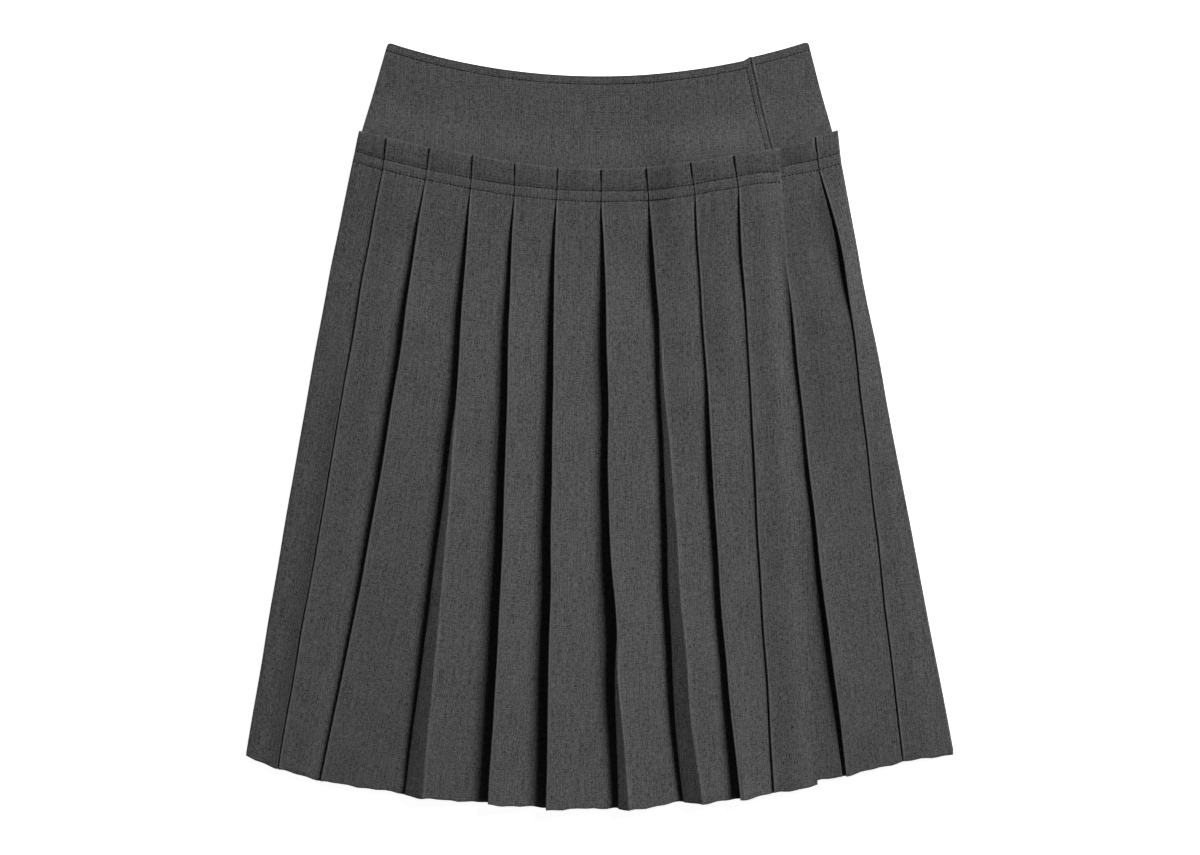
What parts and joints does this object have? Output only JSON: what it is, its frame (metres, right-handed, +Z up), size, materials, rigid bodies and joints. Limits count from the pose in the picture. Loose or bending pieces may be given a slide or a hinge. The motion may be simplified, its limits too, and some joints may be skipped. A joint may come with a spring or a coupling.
{
  "type": "pleated wrap midi skirt, laid flat",
  "caption": "Knife-pleated wrap midi skirt laid flat, front up: contoured hip yoke, pleats topstitched over it below a free-standing header, over-panel wrapping to one side.",
  "frame": {"origin": "centre of the bounding box, on the surface that the back of the skirt lies on", "axes": "+Y from hem to waist, +X to the viewer's right with the front up, +Z up out of the front"},
  "size_m": [0.6361, 0.6881, 0.0235],
  "materials": {
    "suiting": "matt charcoal melange worsted wool suiting"
  },
  "bodies": {
    "root": {"yoke_front": "suiting", "yoke_under": "suiting", "yoke_back": "suiting", "pleats_front": "suiting", "pleats_under": "suiting", "pleats_back": "suiting"}
  },
  "joints": []
}
